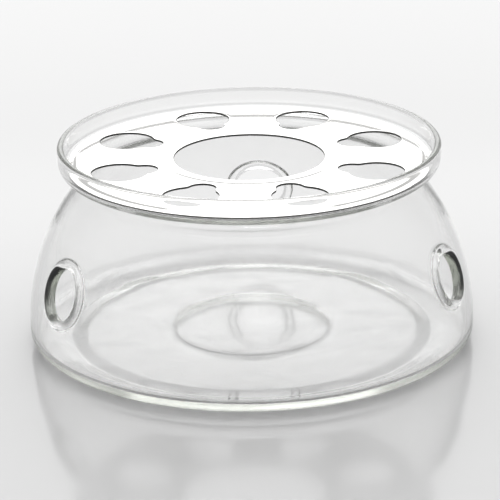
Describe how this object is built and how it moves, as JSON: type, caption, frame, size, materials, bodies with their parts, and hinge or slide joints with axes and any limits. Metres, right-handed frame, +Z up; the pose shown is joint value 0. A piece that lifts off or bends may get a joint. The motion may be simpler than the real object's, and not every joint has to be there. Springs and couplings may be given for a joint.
{
  "type": "glass teapot warmer",
  "caption": "Round clear glass warmer stand with a flared collar, fused glass vent rings and a loose perforated steel plate that carries a teapot over a candle.",
  "frame": {"origin": "centre of the base, on the surface the warmer stands on", "axes": "+Z up the axis of the round body; -Y is the front, midway between the two nearer vents"},
  "size_m": [0.135, 0.135, 0.0615],
  "materials": {
    "clear_glass": "clear blown borosilicate glass, fire-polished",
    "polished_steel": "polished stainless steel"
  },
  "bodies": {
    "glass_body": {"glass_body": "clear_glass"},
    "steel_plate": {"steel_plate": "polished_steel"}
  },
  "joints": [
    {"name": "plate_lift", "type": "slide", "parent": "glass_body", "child": "steel_plate", "axis": [0, 0, 1], "range_m": [0, 0.04]}
  ]
}
